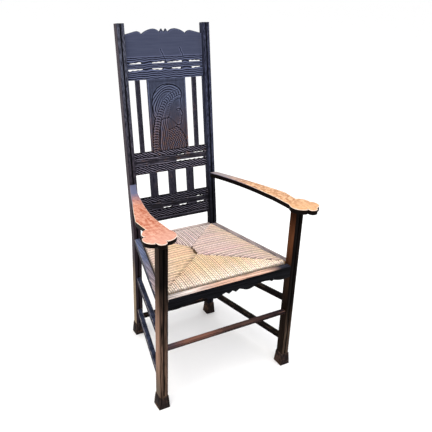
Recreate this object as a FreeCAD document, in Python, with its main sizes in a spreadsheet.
import FreeCAD, Part
import Sketcher
import math
import os

doc = FreeCAD.newDocument("high_back_armchair")

# Driving sizes, in millimetres and degrees. A cell that starts with an equals sign follows others.
# The chair stands on z = 0 and faces -Y. Depths count back from the front faces of the front posts.
SIZES = [
    ("front_width", "548", "over the two front posts"),
    ("back_width", "366", "over the two back posts"),
    ("seat_depth", "436", "front faces of the front posts to front faces of the back posts"),
    ("seat_height", "445", "floor to the top of the seat rails"),
    ("front_post", "31", "square section of a front post"),
    ("back_post", "29", "square section of a back post"),
    ("foot_height", "51", "height of a flared foot"),
    ("foot_flare", "5.5", "how far a foot stands out at the floor"),
    ("foot_step", "1.5", "how far a foot stands out at its top"),
    ("post_groove", "3.5", "width of the groove between the two reeds of a post"),
    ("groove_depth", "2.5", "depth of that groove"),
    ("back_lean", "8.5", "backward lean of the back, in degrees"),
    ("bend_rise", "10", "seat rails to the bend in the back posts"),
    ("bend_run", "20", "length of the eased bend each way"),
    ("lower_gap", "41", "bend to the lower back rail, along the lean"),
    ("lower_height", "102", "lower back rail"),
    ("short_slat_length", "92.5", "opening between the lower and middle rails"),
    ("middle_height", "83.5", "middle back rail"),
    ("splat_length", "264.5", "opening between the middle and crest rails"),
    ("crest_band", "80", "reeded lower part of the crest rail"),
    ("crest_board", "77.5", "plain upper part of the crest rail, at its ends"),
    ("post_rise", "38", "posts above the ends of the crest rail"),
    ("rail_setback", "12.5", "back rails behind the front faces of the posts"),
    ("rail_thick", "12", "back rails"),
    ("slat_setback", "1.5", "slats behind the back rails"),
    ("slat_thick", "9", "side slats and short slats"),
    ("splat_setback", "1", "carved splat behind the back rails"),
    ("splat_thick", "10", "carved splat"),
    ("splat_width", "155", "carved splat"),
    ("side_slat_width", "17.5", "side slats"),
    ("side_slat_gap", "39", "inner face of a back post to the middle of a side slat"),
    ("short_slat_width", "30.5", "short slats"),
    ("short_slat_pitch", "78", "spacing of the short slats"),
    ("reed_pitch", "8", "spacing of the reeds on the back rails"),
    ("reed_groove", "2.4", "width of the groove between two reeds"),
    ("reed_depth", "1.6", "depth of the groove between two reeds"),
    ("slot_height", "5.5", "pierced slots in the back rails"),
    ("slot_wave", "1.6", "how far the wavy edge of a slot swells"),
    ("slot_long", "48", "length of a pierced slot"),
    ("slot_inner", "8", "chair centre to the near end of an inner slot"),
    ("slot_outer", "97", "chair centre to the near end of an outer slot"),
    ("slot_apart", "24", "upper row to lower row of slots"),
    ("long_slot", "18", "chair centre to the near end of the middle rail's long slot"),
    ("crest_slot_rise", "32.5", "bottom of the crest rail to its lower row of slots"),
    ("middle_slot_rise", "32", "bottom of the middle rail to its lower row of slots"),
    ("lower_slot_rise", "47", "bottom of the lower rail to its lower row of slots"),
    ("shoulder_place", "107", "chair centre to the crest's outer shoulder"),
    ("shoulder_rise", "11.5", "outer shoulder above the crest's ends"),
    ("notch_place", "88", "chair centre to the crest's notch"),
    ("lobe_place", "44", "chair centre to the top of the crest's lobe"),
    ("lobe_rise", "19", "lobe above the crest's ends"),
    ("tooth_root", "15.5", "chair centre to the outer root of a tooth"),
    ("tooth_place", "8.5", "chair centre to the tip of a tooth"),
    ("tooth_height", "9", "teeth on the crest and on the front rail"),
    ("root_rise", "8.5", "roots of the teeth above the crest's ends"),
    ("shoulder_swell", "3", "swell of the shoulder's inner side"),
    ("lobe_swell", "4", "swell of both sides of a lobe"),
    ("arm_over_seat", "214", "seat rails to the underside of the arms at the front posts"),
    ("arm_slope", "1.75", "fall of the arms towards the back, in degrees"),
    ("arm_thick", "14", "arm boards"),
    ("paw_reach", "50", "front post's middle to the notches at the front of the paw"),
    ("paw_notch_in", "4", "front post's middle out to the inner front notch"),
    ("paw_notch_out", "41", "front post's middle out to the outer front notch"),
    ("paw_side_out", "56", "front post's middle out to the notch in the paw's side"),
    ("paw_side_back", "8", "front post's middle back to that notch"),
    ("heel_out", "29", "front post's middle out to the heel of the paw"),
    ("heel_back", "55", "front post's middle back to the heel"),
    ("elbow_out", "35", "front post's middle out to the elbow"),
    ("elbow_back", "125", "front post's middle back to the elbow"),
    ("neck_in", "33", "front post's middle in to the neck behind the inner lobe"),
    ("neck_back", "18", "front post's middle back to that neck"),
    ("waist_in", "29", "front post's middle in to the arm's waist"),
    ("waist_back", "110", "front post's middle back to the waist"),
    ("front_lobe_swell", "17", "middle lobe of the paw"),
    ("inner_lobe_swell", "25", "inner lobe of the paw"),
    ("outer_lobe_swell", "20", "outer lobe of the paw"),
    ("side_lobe_swell", "10", "rear lobe on the outer side of the paw"),
    ("outer_edge_swell", "6", "arm's outer edge behind the elbow"),
    ("inner_edge_swell", "15", "hollow of the arm's inner edge"),
    ("rail_top", "24", "front rail's top that shows in front of the rush"),
    ("front_set", "1", "front rail behind the front faces of the posts"),
    ("side_top", "22", "side rails' top that shows outside the rush"),
    ("side_set", "1.5", "side rails inside the outer faces of the front posts"),
    ("side_high", "22", "height of the side and back seat rails"),
    ("back_top", "18", "back seat rail behind the rush"),
    ("ledge", "10", "width of the ledges that carry the loose seat"),
    ("ledge_drop", "14", "seat rails' tops down to the ledges"),
    ("apron_end", "44", "depth of the front rail at the posts"),
    ("apron_foot", "170", "chair centre to the inner end of the apron's bracket"),
    ("apron_cusp", "164", "chair centre to the small cusp"),
    ("apron_arch", "157", "chair centre to the outer end of the apron's arch"),
    ("apron_lobe", "88", "chair centre to the outer end of the apron's lobe"),
    ("apron_inner", "44", "chair centre to the inner end of the apron's lobe"),
    ("apron_root", "27", "chair centre to the outer root of the apron's tooth"),
    ("apron_tooth", "14", "chair centre to the tip of the apron's tooth"),
    ("apron_high", "35.5", "depth of the front rail at the roots of its teeth"),
    ("apron_spring", "38", "depth of the front rail at its arches"),
    ("apron_drop", "42", "depth of the front rail at the ends of its lobes"),
    ("cusp_drop", "5", "depth of the small cusp below the arches"),
    ("bracket_swell", "6", "swell of the apron's brackets and lobes"),
    ("arch_swell", "6", "rise of the apron's arches"),
    ("stretcher_thick", "18", "stretchers, across"),
    ("stretcher_high", "19", "stretchers, upright"),
    ("rear_stretcher_high", "16", "rear stretcher, upright"),
    ("upper_front", "286", "floor to the middle of an upper side stretcher at the front post"),
    ("upper_back", "262", "floor to the middle of an upper side stretcher at the back post"),
    ("lower_level", "112", "floor to the middle of a lower side stretcher"),
    ("front_level", "240", "floor to the middle of the front stretcher"),
    ("rear_level", "73", "floor to the middle of the rear stretcher"),
    ("tenon_depth", "10", "tenons into the posts"),
    ("tenon_thick", "8", "tenons of rails and stretchers"),
    ("tenon_shoulder", "3", "tenons inside the edges of their rails"),
    ("board_tenon", "6", "thickness of the tenons of the back rails and slats"),
    ("slat_tenon", "7", "depth of the slats' tenons"),
    ("arm_tenon", "16", "width of the tenons under and behind an arm"),
    ("arm_tenon_high", "9", "front post's tenon into the arm"),
    ("arm_tenon_thick", "7", "thickness of the tenon behind an arm"),
    ("fit", "0.15", "clearance round a tenon"),
    ("tip_gap", "0.5", "clearance past the tip of a tenon"),
    ("seat_gap", "1.2", "clearance round the loose seat"),
    ("seat_clear", "0.3", "clearance under the loose seat"),
    ("rush_edge", "5", "top of the rush at its edges above the seat rails"),
    ("rush_crown", "12", "top of the rush at its middle above the seat rails"),
    ("rush_skin", "4", "rush round the loose seat's frame"),
    ("rush_tuck", "3", "how far the rush draws in at its underside"),
    ("rush_round", "6", "how far the rush rounds over at its edges"),
    ("crown_inset", "45", "edge of the rush in to the foot of its crown"),
    ("top_inset", "100", "edge of the rush in to the flat of its crown"),
    ("bar_wide", "22", "bars of the loose seat's frame"),
    ("bar_high", "11", "bars of the loose seat's frame"),
    ("bar_tenon", "7", "tenons of the loose seat's side bars"),
    ("front_half", "=front_width / 2", ""),
    ("front_axis", "=front_width / 2 - front_post / 2", "chair centre to a front post's middle"),
    ("front_inner", "=front_width / 2 - front_post", ""),
    ("front_post_half", "=front_post / 2", ""),
    ("back_axis", "=back_width / 2 - back_post / 2", "chair centre to a back post's middle"),
    ("back_inner", "=back_width / 2 - back_post", ""),
    ("side_slat_place", "=back_inner - side_slat_gap", "chair centre to the middle of a side slat"),
    ("back_post_half", "=back_post / 2", ""),
    ("back_depth", "=seat_depth + back_post / 2", ""),
    ("groove_half", "=post_groove / 2", ""),
    ("bend_height", "=seat_height + bend_rise", ""),
    ("lower_top", "=lower_gap + lower_height", "along the lean, from the bend"),
    ("middle_bottom", "=lower_top + short_slat_length", ""),
    ("middle_top", "=middle_bottom + middle_height", ""),
    ("crest_bottom", "=middle_top + splat_length", ""),
    ("band_top", "=crest_bottom + crest_band", ""),
    ("crest_end", "=band_top + crest_board", ""),
    ("post_length", "=crest_end + post_rise", ""),
    ("bend_below", "=bend_height - bend_run", ""),
    ("bend_front_y", "=seat_depth + bend_run * sin(back_lean)", ""),
    ("bend_front_z", "=bend_height + bend_run * cos(back_lean)", ""),
    ("top_front_y", "=seat_depth + post_length * sin(back_lean)", ""),
    ("top_front_z", "=bend_height + post_length * cos(back_lean)", ""),
    ("top_back_y", "=top_front_y + back_post * cos(back_lean)", ""),
    ("top_back_z", "=top_front_z - back_post * sin(back_lean)", ""),
    ("corner_z", "=bend_height - back_post * tan(back_lean / 2)", ""),
    ("post_back", "=seat_depth + back_post", ""),
    ("bend_back_y", "=post_back + bend_run * sin(back_lean)", ""),
    ("bend_back_z", "=corner_z + bend_run * cos(back_lean)", ""),
    ("corner_below", "=corner_z - bend_run", ""),
    ("bend_swell", "=bend_run * cos(back_lean / 2) * tan(back_lean / 4)", ""),
    ("rail_back", "=rail_setback + rail_thick", ""),
    ("rail_middle", "=rail_setback + rail_thick / 2", ""),
    ("board_half", "=board_tenon / 2", ""),
    ("slat_front", "=rail_setback + slat_setback", ""),
    ("slat_back", "=slat_front + slat_thick", ""),
    ("splat_front", "=rail_setback + splat_setback", ""),
    ("splat_back", "=splat_front + splat_thick", ""),
    ("splat_half", "=splat_width / 2", ""),
    ("side_slat_half", "=side_slat_width / 2", ""),
    ("short_slat_half", "=short_slat_width / 2", ""),
    ("slot_ripple", "=slot_long / 3", "one wave of a slot's edge"),
    ("long_ripple", "=(slot_outer + slot_long - long_slot) / 8", "one wave of the long slot's edge"),
    ("arm_level", "=seat_height + arm_over_seat", "underside of an arm at the front post's middle"),
    ("arm_rise", "=front_post / 2 * tan(arm_slope)", ""),
    ("arm_reach", "=seat_depth + (arm_level - bend_height) * tan(back_lean) - front_post / 2", ""),
    ("arm_end", "=arm_reach + arm_thick", ""),
    ("arm_end_in", "=front_axis - back_inner", ""),
    ("arm_end_out", "=front_axis - back_width / 2", ""),
    ("arm_fall", "=arm_reach * tan(arm_slope)", ""),
    ("arm_joint", "=(arm_level + arm_thick / 2 - arm_fall - bend_height) / cos(back_lean)", ""),
    ("arm_tenon_half", "=arm_tenon / 2", ""),
    ("arm_tenon_side", "=arm_tenon_thick / 2", ""),
    ("side_run", "=seat_depth - front_post", ""),
    ("side_tan", "=(front_axis - back_axis) / side_run", ""),
    ("side_cos", "=cos(atan(side_tan))", ""),
    ("stretcher_half", "=stretcher_thick / 2", ""),
    ("stretcher_half_z", "=stretcher_high / 2", ""),
    ("rear_half_z", "=rear_stretcher_high / 2", ""),
    ("tenon_half", "=tenon_thick / 2", ""),
    ("tenon_front_y", "=front_set + rail_top / 2", "middle of the front rail's tenon"),
    ("tenon_back_y", "=seat_depth + back_top / 2", "middle of the back seat rail's tenon"),
    ("rail_bottom", "=seat_height - side_high", "underside of the side and back seat rails"),
    ("ledge_top", "=seat_height - ledge_drop", ""),
    ("front_rail_back", "=front_set + rail_top", ""),
    ("rail_mid", "=seat_height - side_high / 2", ""),
    ("side_out", "=front_post / 2 - side_set", "side rail's axis out to its outer face"),
    ("side_wall", "=side_top / side_cos - side_out", "side rail's axis in to the wall beside the rush"),
    ("side_in", "=side_wall + ledge / side_cos", "side rail's axis in to the end of its ledge"),
    ("stretcher_side", "=stretcher_thick / 2 / side_cos", ""),
    ("tenon_side", "=tenon_thick / 2 / side_cos", ""),
    ("tenon_swing", "=tenon_depth * side_tan", ""),
    ("mortise_swing", "=(tenon_depth + tip_gap) * side_tan", ""),
    ("upper_dip", "=tenon_depth * (upper_front - upper_back) / side_run", ""),
    ("mortise_dip", "=(tenon_depth + tip_gap) * (upper_front - upper_back) / side_run", ""),
    ("level_dip", "=0 * tenon_depth", ""),
    ("side_tenon_z", "=(rail_mid + seat_height - tenon_shoulder) / 2 + fit", "middle of a side rail's tenon"),
    ("side_tenon_half", "=(seat_height - tenon_shoulder - rail_mid) / 2 - fit", ""),
    ("stretcher_tenon_half", "=stretcher_high / 2 - tenon_shoulder", ""),
    ("front_ledge", "=front_axis - side_in - ledge * side_tan - seat_gap", ""),
    ("back_ledge", "=back_axis - side_in - seat_gap", ""),
    ("rush_front", "=front_rail_back + seat_gap", ""),
    ("rush_back", "=seat_depth - seat_gap", ""),
    ("rush_line", "=front_axis - side_wall - seat_gap / side_cos + front_post * side_tan", ""),
    ("inset_front", "=1 / side_cos + side_tan", "sideways shift of a front corner for an inset of 1"),
    ("inset_back", "=1 / side_cos - side_tan", "sideways shift of a back corner for an inset of 1"),
    ("rush_bottom", "=ledge_top + seat_clear", ""),
    ("bar_bottom", "=rush_bottom + rush_skin", ""),
    ("bar_top", "=bar_bottom + bar_high", ""),
    ("bar_out", "=rush_skin + seat_clear", ""),
    ("bar_in", "=bar_out + bar_wide", ""),
    ("hollow_in", "=bar_in + seat_clear", ""),
    ("bar_skew", "=bar_wide * side_tan", ""),
    ("bar_third", "=bar_high / 3", ""),
    ("crown_rise", "=rush_edge + (rush_crown - rush_edge) * 0.65", ""),
    ("no_inset", "=0 * rush_skin", ""),
    ("front_top_y", "=front_post / 2 - (paw_reach + front_lobe_swell) * cos(arm_slope)", "foremost point"),
    ("mid_depth", "=(front_top_y + top_back_y) / 2", "middle of the chair's whole depth"),
]

# Corners of the loose seat at each inset from the edge of the rush.
for inset in ("no_inset", "rush_tuck", "rush_round", "crown_inset", "top_inset",
              "rush_skin", "bar_out", "bar_in", "hollow_in"):
    SIZES += [
        (inset + "_xf", "=rush_line - rush_front * side_tan - %s * inset_front" % inset, ""),
        (inset + "_xb", "=rush_line - rush_back * side_tan - %s * inset_back" % inset, ""),
        (inset + "_yf", "=rush_front + %s" % inset, ""),
        (inset + "_yb", "=rush_back - %s" % inset, ""),
    ]

sizes = doc.addObject("Spreadsheet::Sheet", "Sizes")
for row, (alias, value, remark) in enumerate(SIZES, 1):
    sizes.set("A%d" % row, remark)
    sizes.set("B%d" % row, value)
    sizes.setAlias("B%d" % row, alias)
doc.recompute()


def number(text):
    """Value of a sum of sheet names and plain numbers, such as 'front_inner - fit'."""
    total, sign = 0.0, 1.0
    for word in text.split():
        if word in ("+", "-"):
            sign = 1.0 if word == "+" else -1.0
        else:
            total += sign * (float(word) if word[0].isdigit() else float(sizes.get(word)))
    return total


def formula(text):
    """The same sum, written for setExpression."""
    words = [w if w in ("+", "-") or w[0].isdigit() else "Sizes." + w for w in text.split()]
    return " ".join(words)


def minus(text):
    """The sum with every sign turned round."""
    turned = " ".join({"+": "-", "-": "+"}.get(word, word) for word in text.split())
    return turned[2:] if turned.startswith("+ ") else turned if turned[0] == "-" else "- " + turned


# Frames that the bodies are drawn in: where the origin is, and the backward tilt about X.
FRAMES = {
    "chair": ("0", "- mid_depth", "0", "0"),
    "back": ("0", "seat_depth - mid_depth", "bend_height", "back_lean"),
    "arm_right": ("front_axis", "front_post_half - mid_depth", "arm_level", "arm_slope"),
    "arm_left": ("- front_axis", "front_post_half - mid_depth", "arm_level", "arm_slope"),
}


def new_body(name, frame):
    body = doc.addObject("PartDesign::Body", name)
    x, y, z, tilt = FRAMES[frame]
    turn = FreeCAD.Rotation(FreeCAD.Vector(-1, 0, 0), number(tilt))
    body.Placement = FreeCAD.Placement(FreeCAD.Vector(number(x), number(y), number(z)), turn)
    for axis, text in zip("xyz", (x, y, z)):
        body.setExpression("Placement.Base." + axis, formula(text))
    if tilt != "0":
        body.setExpression("Placement.Rotation.Angle", formula(tilt))
    return body


def draw(body, plane, level, *loops):
    """A sketch on one of the body's planes, moved to a level along the plane's axis.

    Each loop is a list of corners (across, up) or (across, up, swell). A swell makes the edge that
    starts at that corner an arc. It stands out to the right of the way from corner to corner, and a
    text that starts with a minus makes it hollow.
    """
    sketch = body.newObject("Sketcher::SketchObject", body.Name + "_sketch")
    support = [f for f in body.Origin.OriginFeatures if f.Role == plane + "_Plane"][0]
    sketch.AttachmentSupport = [(support, "")]
    sketch.MapMode = "FlatFace"
    sketch.setExpression("AttachmentOffset.Base.z", formula(minus(level) if plane == "XZ" else level))
    for corners in loops:
        first = sketch.GeometryCount
        count = len(corners)
        spots = [FreeCAD.Vector(number(c[0]), number(c[1]), 0) for c in corners]
        edges, starts, bound = [], [], []
        for i, corner in enumerate(corners):
            here, there = spots[i], spots[(i + 1) % count]
            if len(corner) < 3:
                edges.append(Part.LineSegment(here, there))
                starts.append(1)
                continue
            hollow = corner[2].startswith("- ")
            swell = number(corner[2].replace("- ", ""))
            along = there - here
            radius = along.Length ** 2 / (8 * swell) + swell / 2
            right = FreeCAD.Vector(along.y, -along.x, 0).normalize() * (-1 if hollow else 1)
            centre = (here + there) * 0.5 + right * (swell - radius)
            ends = (there, here) if hollow else (here, there)
            angles = [math.atan2(end.y - centre.y, end.x - centre.x) for end in ends]
            arc = Part.ArcOfCircle(Part.Circle(centre, FreeCAD.Vector(0, 0, 1), radius), *angles)
            edges.append(arc)
            starts.append(2 if hollow else 1)
            x0, y0 = formula(corner[0]), formula(corner[1])
            x1, y1 = (formula(t) for t in corners[(i + 1) % count][:2])
            bulge = formula(corner[2].replace("- ", ""))
            chord = "((%s - (%s))^2 + (%s - (%s))^2)" % (x1, x0, y1, y0)
            bound.append((i, radius, "%s / (8 * %s) + %s / 2" % (chord, bulge, bulge)))
        sketch.addGeometry(edges, False)
        for i, corner in enumerate(corners):
            before = (i - 1) % count
            here = (first + i, starts[i])
            sketch.addConstraint(Sketcher.Constraint("Coincident", first + before, 3 - starts[before], *here))
            for kind, text, value in (("DistanceX", corner[0], spots[i].x), ("DistanceY", corner[1], spots[i].y)):
                index = sketch.addConstraint(Sketcher.Constraint(kind, -1, 1, *here, value))
                sketch.setExpression("Constraints[%d]" % index, formula(text))
        for i, radius, text in bound:
            index = sketch.addConstraint(Sketcher.Constraint("Radius", first + i, radius))
            sketch.setExpression("Constraints[%d]" % index, text)
    return sketch


def pad(body, plane, start, end, *loops):
    """A pad of the loops between two levels along the plane's axis."""
    sketch = draw(body, plane, end if plane == "XZ" else start, *loops)
    feature = body.newObject("PartDesign::Pad", body.Name + "_pad")
    feature.Profile = sketch
    feature.setExpression("Length", "%s - (%s)" % (formula(end), formula(start)))
    body.Tip = feature
    return feature


def loft(body, plane, *sections):
    """A straight loft through sections, each a level and its corners."""
    sketches = [draw(body, plane, level, corners) for level, corners in sections]
    feature = body.newObject("PartDesign::AdditiveLoft", body.Name + "_loft")
    feature.Profile = sketches[0]
    feature.Sections = sketches[1:]
    feature.Ruled = True
    body.Tip = feature
    return feature


def oblong(left, right, low, high):
    """Corners of a rectangle."""
    return [(left, low), (right, low), (right, high), (left, high)]


def mirrored(corners):
    """The same corners on the other side of the chair, in the same turning sense."""
    turned = []
    for i in range(len(corners) - 1, -1, -1):
        turned.append((minus(corners[i][0]), corners[i][1]) + tuple(corners[i - 1][2:]))
    return turned


def block(name, frame, x, y, z):
    """A box between two levels each way, in one of the frames."""
    body = new_body(name, frame)
    pad(body, "XZ", y[0], y[1], oblong(x[0], x[1], z[0], z[1]))
    return body


def joined(name, pieces):
    fuse = doc.addObject("Part::MultiFuse", name)
    fuse.Shapes = pieces
    return fuse


def without(name, base, tools):
    """The base with the tools cut away."""
    cut = doc.addObject("Part::Cut", name)
    cut.Base = base
    cut.Tool = tools[0] if len(tools) == 1 else joined(name + "_cutters", tools)
    return cut


SIDES = (("right", ""), ("left", "- "))
parts = {}


def sided(text, sign):
    """A distance to the right, or the same distance to the left."""
    return minus(text) if sign else text


def span(text, half, sign):
    """The two ends of a width about a place on one side of the chair, left end first."""
    place = sided(text, sign)
    return place + " - " + half, place + " + " + half


# Stretchers and seat rails that run across the chair, each with a tenon into both posts.
def across(name, inner, y, z, tenon_y, tenon_z):
    """A bar between two posts and the cutter for its mortises."""
    body = new_body(name + "_bar", "chair")
    pad(body, "XZ", y[0], y[1], oblong(minus(inner), inner, z[0], z[1]))
    reach = inner + " + tenon_depth"
    pad(body, "XZ", tenon_y + " - tenon_half", tenon_y + " + tenon_half",
        oblong(minus(reach), reach, tenon_z[0], tenon_z[1]))
    return body, mortise_across(name, inner, tenon_y, tenon_z)


def mortise_across(name, inner, tenon_y, tenon_z):
    reach = inner + " + tenon_depth + tip_gap"
    y = (tenon_y + " - tenon_half - fit", tenon_y + " + tenon_half + fit")
    z = (tenon_z[0] + " - fit", tenon_z[1] + " + fit")
    return block(name + "_mortise", "chair", (minus(reach), reach), y, z)


front_tenon_z = ("front_level - stretcher_half_z + tenon_shoulder",
                 "front_level + stretcher_half_z - tenon_shoulder")
front_stretcher, front_stretcher_mortise = across(
    "front_stretcher", "front_inner",
    ("front_post_half - stretcher_half", "front_post_half + stretcher_half"),
    ("front_level - stretcher_half_z", "front_level + stretcher_half_z"),
    "front_post_half", front_tenon_z)
parts["front_stretcher"] = front_stretcher

rear_tenon_z = ("rear_level - rear_half_z + tenon_shoulder", "rear_level + rear_half_z - tenon_shoulder")
rear_stretcher, rear_stretcher_mortise = across(
    "rear_stretcher", "back_inner",
    ("back_depth - stretcher_half", "back_depth + stretcher_half"),
    ("rear_level - rear_half_z", "rear_level + rear_half_z"),
    "back_depth", rear_tenon_z)
parts["rear_stretcher"] = rear_stretcher

# Back seat rail: a bar flush with the fronts of the back posts, with a ledge in front of it.
back_tenon_z = ("rail_bottom + fit", "rail_mid - fit")
back_seat_rail, back_rail_mortise = across(
    "back_seat_rail", "back_inner", ("seat_depth", "seat_depth + back_top"),
    ("rail_bottom", "seat_height"), "tenon_back_y", back_tenon_z)
pad(back_seat_rail, "XZ", "seat_depth - ledge", "seat_depth",
    oblong("- back_ledge", "back_ledge", "rail_bottom", "ledge_top"))
parts["back_seat_rail"] = back_seat_rail

# Front seat rail: a scalloped apron that repeats the crest's outline upside down, with a ledge behind.
apron = [
    ("front_inner", "seat_height"),
    ("- front_inner", "seat_height"),
]
apron_half = [
    ("- front_inner", "seat_height - apron_end", "bracket_swell"),
    ("- apron_foot", "seat_height - apron_spring"),
    ("- apron_cusp", "seat_height - apron_spring - cusp_drop"),
    ("- apron_arch", "seat_height - apron_spring", "- arch_swell"),
    ("- apron_lobe", "seat_height - apron_drop", "bracket_swell"),
    ("- apron_inner", "seat_height - apron_drop"),
    ("- apron_root", "seat_height - apron_high"),
    ("- apron_tooth", "seat_height - apron_high - tooth_height"),
]
apron += apron_half + [("0", "seat_height - apron_high")] + mirrored(apron_half)
front_seat_rail = new_body("front_seat_rail_board", "chair")
pad(front_seat_rail, "XZ", "front_set", "front_rail_back", apron)
pad(front_seat_rail, "XZ", "front_rail_back", "front_rail_back + ledge",
    oblong("- front_ledge", "front_ledge", "rail_bottom", "ledge_top"))
front_rail_z = ("seat_height - apron_end + tenon_shoulder", "seat_height - tenon_shoulder")
front_reach = "front_inner + tenon_depth"
pad(front_seat_rail, "XZ", "tenon_front_y - tenon_half", "tenon_front_y + tenon_half",
    oblong("front_inner - tenon_depth", front_reach, front_rail_z[0], front_rail_z[1]))
pad(front_seat_rail, "XZ", "tenon_front_y - tenon_half", "tenon_front_y + tenon_half",
    oblong(minus(front_reach), "- front_inner + tenon_depth", front_rail_z[0], front_rail_z[1]))
parts["front_seat_rail"] = front_seat_rail
front_rail_mortise = mortise_across("front_seat_rail", "front_inner", "tenon_front_y", front_rail_z)


# Side rails and side stretchers run from the middle of a front post to the middle of a back post.
# Their ends are cut to the posts' faces, so each is a loft between a front and a back section.
def side_bar(name, sign, front, back, tenon_front, tenon_back, tenon_half_z, dip):
    """A bar along one side of the seat and the cutter for its mortises."""
    turn = mirrored if sign else list
    body = new_body(name + "_bar", "chair")
    loft(body, "XZ", ("front_post", turn(front)), ("seat_depth", turn(back)))
    for piece, swing, drop, ease, reach in (
            (body, "tenon_swing", dip, "", "tenon_depth"),
            (None, "mortise_swing", "mortise_dip" if dip == "upper_dip" else dip, " + fit",
             "tenon_depth + tip_gap")):
        piece = piece or new_body(name + "_mortise", "chair")
        half_x = "tenon_side" + ease
        half_z = tenon_half_z + ease
        ends = []
        for x, z in (("front_axis + " + swing, tenon_front + " + " + drop),
                     ("back_axis - " + swing, tenon_back + " - " + drop)):
            ends.append(turn(oblong(x + " " + minus(half_x), x + " + " + half_x,
                                    z + " " + minus(half_z), z + " + " + half_z)))
        loft(piece, "XZ", ("front_post " + minus(reach), ends[0]), ("seat_depth + " + reach, ends[1]))
    return body, piece


def stretcher_section(x, z):
    return oblong(x + " - stretcher_side", x + " + stretcher_side",
                  z + " - stretcher_half_z", z + " + stretcher_half_z")


def rail_section(x):
    """A side seat rail: the part that shows outside the rush, and the ledge under the rush."""
    return [(x + " - side_in", "rail_bottom"), (x + " + side_out", "rail_bottom"),
            (x + " + side_out", "seat_height"), (x + " - side_wall", "seat_height"),
            (x + " - side_wall", "ledge_top"), (x + " - side_in", "ledge_top")]


side_mortises = {}
for side, sign in SIDES:
    rail, rail_mortise = side_bar(
        "side_seat_rail_" + side, sign, rail_section("front_axis"), rail_section("back_axis"),
        "side_tenon_z", "side_tenon_z", "side_tenon_half", "level_dip")
    upper, upper_mortise = side_bar(
        "upper_side_stretcher_" + side, sign, stretcher_section("front_axis", "upper_front"),
        stretcher_section("back_axis", "upper_back"), "upper_front", "upper_back",
        "stretcher_tenon_half", "upper_dip")
    lower, lower_mortise = side_bar(
        "lower_side_stretcher_" + side, sign, stretcher_section("front_axis", "lower_level"),
        stretcher_section("back_axis", "lower_level"), "lower_level", "lower_level",
        "stretcher_tenon_half", "level_dip")
    parts["side_seat_rail_" + side] = rail
    parts["upper_side_stretcher_" + side] = upper
    parts["lower_side_stretcher_" + side] = lower
    side_mortises[side] = [rail_mortise, upper_mortise, lower_mortise]


# Slats and splat: boards that stand between two back rails, tenoned into both.
def upright(name, place, half, front, back, low, high):
    """A board of the back and the cutter for its mortises."""
    body = new_body(name + "_board", "back")
    pad(body, "XZ", front, back, oblong(place + " - " + half, place + " + " + half, low, high))
    tenon = oblong(place + " - " + half + " + tenon_shoulder", place + " + " + half + " - tenon_shoulder",
                   low + " - slat_tenon", high + " + slat_tenon")
    pad(body, "XZ", "rail_middle - board_half", "rail_middle + board_half", tenon)
    cutter = block(name + "_mortise", "back",
                   (tenon[0][0] + " - fit", tenon[1][0] + " + fit"),
                   ("rail_middle - board_half - fit", "rail_middle + board_half + fit"),
                   (tenon[0][1] + " - tip_gap", tenon[2][1] + " + tip_gap"))
    return body, cutter


tall_cutters = []
short_cutters = []
for name, place, half, front, back in (
        ("carved_splat", "0", "splat_half", "splat_front", "splat_back"),
        ("side_slat_left", "- side_slat_place", "side_slat_half", "slat_front", "slat_back"),
        ("side_slat_right", "side_slat_place", "side_slat_half", "slat_front", "slat_back")):
    parts[name], cutter = upright(name, place, half, front, back, "middle_top", "crest_bottom")
    tall_cutters.append(cutter)
for name, place in (("short_slat_left", "- short_slat_pitch"), ("short_slat_centre", "0"),
                    ("short_slat_right", "short_slat_pitch")):
    parts[name], cutter = upright(name, place, "short_slat_half", "slat_front", "slat_back",
                                  "lower_top", "middle_bottom")
    short_cutters.append(cutter)


# Back rails: reeded boards, each pierced with two rows of slots that wave on their outer edges.
# On the right of the middle rail, the lower row is one long slot.
def slot(near, far, ripple, count, low, waves_up):
    """Loop of a slot whose upper or lower edge waves."""
    high = low + " + slot_height"
    stops = [near + (" + " + ripple) * i for i in range(count)] + [far]
    if waves_up:
        wavy = [(x, high, "slot_wave") for x in stops[:0:-1]]
        return [(near, low), (far, low)] + wavy + [(near, high)]
    wavy = [(x, low, "slot_wave") for x in stops[:-1]]
    return wavy + [(far, low), (far, high), (near, high)]


def slots(low, one_long):
    """Loops of the two rows of slots above a level."""
    loops = []
    for row, waves_up in ((low, False), (low + " + slot_apart", True)):
        for near in ("slot_inner", "slot_outer"):
            loop = slot(near, near + " + slot_long", "slot_ripple", 3, row, waves_up)
            loops.append(mirrored(loop))
            if waves_up or not one_long:
                loops.append(loop)
    if one_long:
        loops.append(slot("long_slot", "slot_outer + slot_long", "long_ripple", 8, low, False))
    return loops


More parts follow.
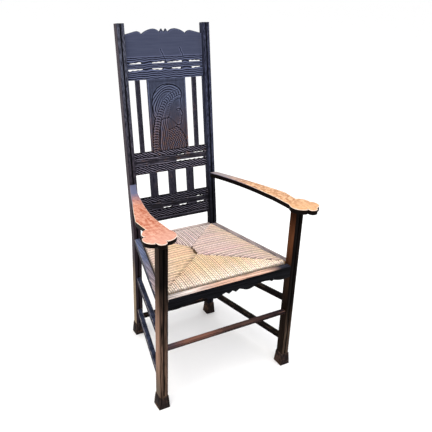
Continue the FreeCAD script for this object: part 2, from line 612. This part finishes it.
def back_rail(name, outline, low, tenon_low, tenon_high, slot_low, reeded, seats, one_long=False):
    """A back rail and the cutter for its mortises in the posts."""
    body = new_body(name + "_board", "back")
    pad(body, "XZ", "rail_setback", "rail_back", outline, *slots(slot_low, one_long))
    reach = "back_inner + tenon_depth"
    stub = oblong("back_inner - board_half", reach, tenon_low, tenon_high)
    pad(body, "XZ", "rail_middle - board_half", "rail_middle + board_half", stub, mirrored(stub))
    cutter = block(name + "_mortise", "back", (minus(reach) + " - tip_gap", reach + " + tip_gap"),
                   ("rail_middle - board_half - fit", "rail_middle + board_half + fit"),
                   (tenon_low + " - fit", tenon_high + " + fit"))
    comb = new_body(name + "_reeds", "back")
    comb.AllowCompound = True
    groove = pad(comb, "YZ", "- back_inner", "back_inner",
                 oblong("rail_setback - reed_depth", "rail_setback + reed_depth",
                        low + " + reed_pitch - reed_groove", low + " + reed_pitch"))
    pattern = comb.newObject("PartDesign::LinearPattern", name + "_reed_pattern")
    pattern.Originals = [groove]
    pattern.Direction = ([f for f in comb.Origin.OriginFeatures if f.Role == "Z_Axis"][0], [""])
    pattern.Mode = "Spacing"
    pattern.setExpression("Offset", "Sizes.reed_pitch")
    pattern.Occurrences = int(number(reeded) / number("reed_pitch")) - 1
    comb.Tip = pattern
    parts[name] = without(name, body, [comb] + seats)
    return cutter


crest_half = [
    ("back_inner", "crest_bottom"),
    ("back_inner", "crest_end"),
    ("shoulder_place", "crest_end + shoulder_rise", "shoulder_swell"),
    ("notch_place", "crest_end", "lobe_swell"),
    ("lobe_place", "crest_end + lobe_rise", "lobe_swell"),
    ("tooth_root", "crest_end + root_rise"),
    ("tooth_place", "crest_end + root_rise + tooth_height"),
]
crest = crest_half + [("0", "crest_end + root_rise")] + mirrored(crest_half)
back_mortises = [
    back_rail("crest_rail", crest, "crest_bottom", "crest_bottom + tenon_shoulder",
              "crest_end - tenon_shoulder", "crest_bottom + crest_slot_rise", "crest_band", tall_cutters),
    back_rail("middle_rail", oblong("- back_inner", "back_inner", "middle_bottom", "middle_top"),
              "middle_bottom", "middle_bottom + tenon_shoulder", "middle_top - tenon_shoulder",
              "middle_bottom + middle_slot_rise", "middle_height", tall_cutters + short_cutters,
              one_long=True),
    back_rail("lower_rail", oblong("- back_inner", "back_inner", "lower_gap", "lower_top"),
              "lower_gap", "lower_gap + tenon_shoulder", "lower_top - tenon_shoulder",
              "lower_gap + lower_slot_rise", "lower_height", short_cutters),
]

# Arms: flat boards with a lobed paw over the front post, cut to the lean of the back post behind.
paw = [
    ("- arm_end_in", "arm_end", "- inner_edge_swell"),
    ("- waist_in", "waist_back"),
    ("- neck_in", "neck_back", "inner_lobe_swell"),
    ("paw_notch_in", "- paw_reach", "front_lobe_swell"),
    ("paw_notch_out", "- paw_reach", "outer_lobe_swell"),
    ("paw_side_out", "paw_side_back", "side_lobe_swell"),
    ("heel_out", "heel_back"),
    ("elbow_out", "elbow_back", "outer_edge_swell"),
    ("- arm_end_out", "arm_end"),
]
behind_arms = block("behind_arms", "back", ("- front_half", "front_half"), ("0", "back_post + back_post"),
                    ("arm_joint - back_post", "arm_joint + back_post"))
arm_sockets = {}
post_tenons = {}
for side, sign in SIDES:
    frame = "arm_" + side
    board = new_body(frame + "_board", frame)
    pad(board, "XY", "0", "arm_thick", mirrored(paw) if sign else paw)
    square = ("- arm_tenon_half", "arm_tenon_half")
    eased = ("- arm_tenon_half - fit", "arm_tenon_half + fit")
    post_tenons[side] = block("post_tenon_" + side, frame, square, square,
                              ("- arm_tenon_high", "arm_tenon_high"))
    socket = block(frame + "_socket", frame, eased, eased, ("- fit", "arm_tenon_high + tip_gap"))
    trimmed = without(frame + "_trimmed", board, [behind_arms, socket])
    x = span("back_axis", "arm_tenon_half", sign)
    tenon = block(frame + "_tenon", "back", x, ("- arm_tenon_half", "tenon_depth"),
                  ("arm_joint - arm_tenon_side", "arm_joint + arm_tenon_side"))
    parts[frame] = joined(frame, [trimmed, tenon])
    arm_sockets[side] = block(frame + "_mortise", "back", (x[0] + " - fit", x[1] + " + fit"),
                              ("- arm_tenon_half", "tenon_depth + tip_gap"),
                              ("arm_joint - arm_tenon_side - fit", "arm_joint + arm_tenon_side + fit"))

# Posts: square, with a flared foot and a groove that leaves two reeds down the front.
front_profile = [("0", "0"), ("front_post", "0"), ("front_post", "arm_level - arm_rise"),
                 ("0", "arm_level + arm_rise")]
back_profile = [
    ("seat_depth", "0"),
    ("post_back", "0"),
    ("post_back", "corner_below", "- bend_swell"),
    ("bend_back_y", "bend_back_z"),
    ("top_back_y", "top_back_z"),
    ("top_front_y", "top_front_z"),
    ("bend_front_y", "bend_front_z", "bend_swell"),
    ("seat_depth", "bend_below"),
]


def post(name, sign, profile, axis, half, depth):
    """A post padded from its side view, with its foot."""
    body = new_body(name + "_stick", "chair")
    x = span(axis, half, sign)
    pad(body, "YZ", x[0], x[1], profile)
    feet = []
    for level, out in (("0", "foot_flare"), ("foot_height", "foot_step")):
        feet.append((level, oblong(x[0] + " - " + out, x[1] + " + " + out,
                                   depth[0] + " - " + out, depth[1] + " + " + out)))
    loft(body, "XY", *feet)
    return body


for side, sign in SIDES:
    stick = post("front_post_" + side, sign, front_profile, "front_axis", "front_post_half", ("0", "front_post"))
    reed = block("front_reed_" + side, "chair", span("front_axis", "groove_half", sign),
                 ("- groove_depth", "groove_depth"), ("foot_height", "arm_level + arm_thick"))
    parts["front_post_" + side] = without(
        "front_post_" + side, joined("front_post_whole_" + side, [stick, post_tenons[side]]),
        [reed, front_rail_mortise, front_stretcher_mortise] + side_mortises[side])

    stick = post("back_post_" + side, sign, back_profile, "back_axis", "back_post_half",
                 ("seat_depth", "post_back"))
    x = span("back_axis", "groove_half", sign)
    low_reed = block("back_reed_low_" + side, "chair", x,
                     ("seat_depth - groove_depth", "seat_depth + groove_depth"), ("foot_height", "bend_height"))
    high_reed = block("back_reed_high_" + side, "back", x, ("- groove_depth", "groove_depth"),
                      ("0", "post_length + groove_depth"))
    parts["back_post_" + side] = without(
        "back_post_" + side, stick,
        [low_reed, high_reed, rear_stretcher_mortise, back_rail_mortise, arm_sockets[side]]
        + back_mortises + side_mortises[side])


# Loose seat: a light frame of four bars inside a crowned pad of rush, which lifts out of the rails.
def seat_plan(inset):
    """Corners of the seat at an inset from the edge of the rush."""
    return [("- %s_xf" % inset, inset + "_yf"), (inset + "_xf", inset + "_yf"),
            (inset + "_xb", inset + "_yb"), ("- %s_xb" % inset, inset + "_yb")]


def corner_notches(name, inner, back):
    """Cutters that clear the two front posts."""
    levels = ("rail_bottom", "seat_height + rush_crown")
    return [block(name + "_right", "chair", (inner, "front_half"), ("0", back), levels),
            block(name + "_left", "chair", ("- front_half", minus(inner)), ("0", back), levels)]


notches = corner_notches("rush_notch", "front_inner - seat_gap", "front_post + seat_gap")
bar_notches = corner_notches("bar_notch", "front_inner - seat_gap - bar_out",
                             "front_post + seat_gap + bar_out")
hollow_notches = corner_notches("hollow_notch", "front_inner - seat_gap - rush_skin",
                                "front_post + seat_gap + rush_skin")
pad_form = new_body("rush_form", "chair")
loft(pad_form, "XY", ("rush_bottom", seat_plan("rush_tuck")), ("bar_bottom", seat_plan("no_inset")),
     ("seat_height", seat_plan("no_inset")), ("seat_height + rush_edge", seat_plan("rush_round")),
     ("seat_height + crown_rise", seat_plan("crown_inset")), ("seat_height + rush_crown", seat_plan("top_inset")))
frame_space = new_body("frame_space", "chair")
pad(frame_space, "XY", "bar_bottom - seat_clear", "bar_top + seat_clear",
    seat_plan("rush_skin"), seat_plan("hollow_in"))
hollow = without("frame_hollow", frame_space, hollow_notches)
parts["rush_seat"] = without("rush_seat", pad_form, notches + [hollow])

side_bars = {}
bar_cutters = []
for side, sign in SIDES:
    turn = mirrored if sign else list
    bar = new_body("seat_frame_side_" + side + "_bar", "chair")
    pad(bar, "XY", "bar_bottom", "bar_top",
        turn([("bar_in_xf", "bar_in_yf"), ("bar_out_xf - bar_skew", "bar_in_yf"),
              ("bar_out_xb + bar_skew", "bar_in_yb"), ("bar_in_xb", "bar_in_yb")]))
    tenon = turn([("bar_in_xf + tenon_half", "bar_in_yf - bar_tenon"),
                  ("bar_in_xf + tenon_half + tenon_thick", "bar_in_yf - bar_tenon"),
                  ("bar_in_xb + tenon_half + tenon_thick", "bar_in_yb + bar_tenon"),
                  ("bar_in_xb + tenon_half", "bar_in_yb + bar_tenon")])
    pad(bar, "XY", "bar_bottom + bar_third", "bar_top - bar_third", tenon)
    parts["seat_frame_" + side] = bar
    cutter = new_body("seat_frame_mortise_" + side, "chair")
    pad(cutter, "XY", "bar_bottom + bar_third - fit", "bar_top - bar_third + fit",
        turn([("bar_in_xf + tenon_half - fit", "bar_in_yf - bar_tenon - tip_gap"),
              ("bar_in_xf + tenon_half + tenon_thick + fit", "bar_in_yf - bar_tenon - tip_gap"),
              ("bar_in_xb + tenon_half + tenon_thick + fit", "bar_in_yb + bar_tenon + tip_gap"),
              ("bar_in_xb + tenon_half - fit", "bar_in_yb + bar_tenon + tip_gap")]))
    bar_cutters.append(cutter)
front_bar = new_body("seat_frame_front_bar", "chair")
pad(front_bar, "XY", "bar_bottom", "bar_top",
    [("- bar_out_xf", "bar_out_yf"), ("bar_out_xf", "bar_out_yf"),
     ("bar_out_xf - bar_skew", "bar_in_yf"), ("- bar_out_xf + bar_skew", "bar_in_yf")])
parts["seat_frame_front"] = without("seat_frame_front", front_bar, bar_notches + bar_cutters)
back_bar = new_body("seat_frame_back_bar", "chair")
pad(back_bar, "XY", "bar_bottom", "bar_top",
    [("- bar_out_xb - bar_skew", "bar_in_yb"), ("bar_out_xb + bar_skew", "bar_in_yb"),
     ("bar_out_xb", "bar_out_yb"), ("- bar_out_xb", "bar_out_yb")])
parts["seat_frame_back"] = without("seat_frame_back", back_bar, bar_cutters)

doc.recompute()
for thing in doc.Objects:
    if "Invalid" in thing.State or "Error" in thing.State:
        raise RuntimeError("%s did not build: %s" % (thing.Name, thing.State))
os.makedirs("parts", exist_ok=True)
for name, piece in parts.items():
    piece.Label = name
    if piece.Shape.isNull() or not piece.Shape.isValid() or len(piece.Shape.Solids) != 1:
        raise RuntimeError(name + " is not one valid solid")
    piece.Shape.exportStep("parts/" + name + ".step")
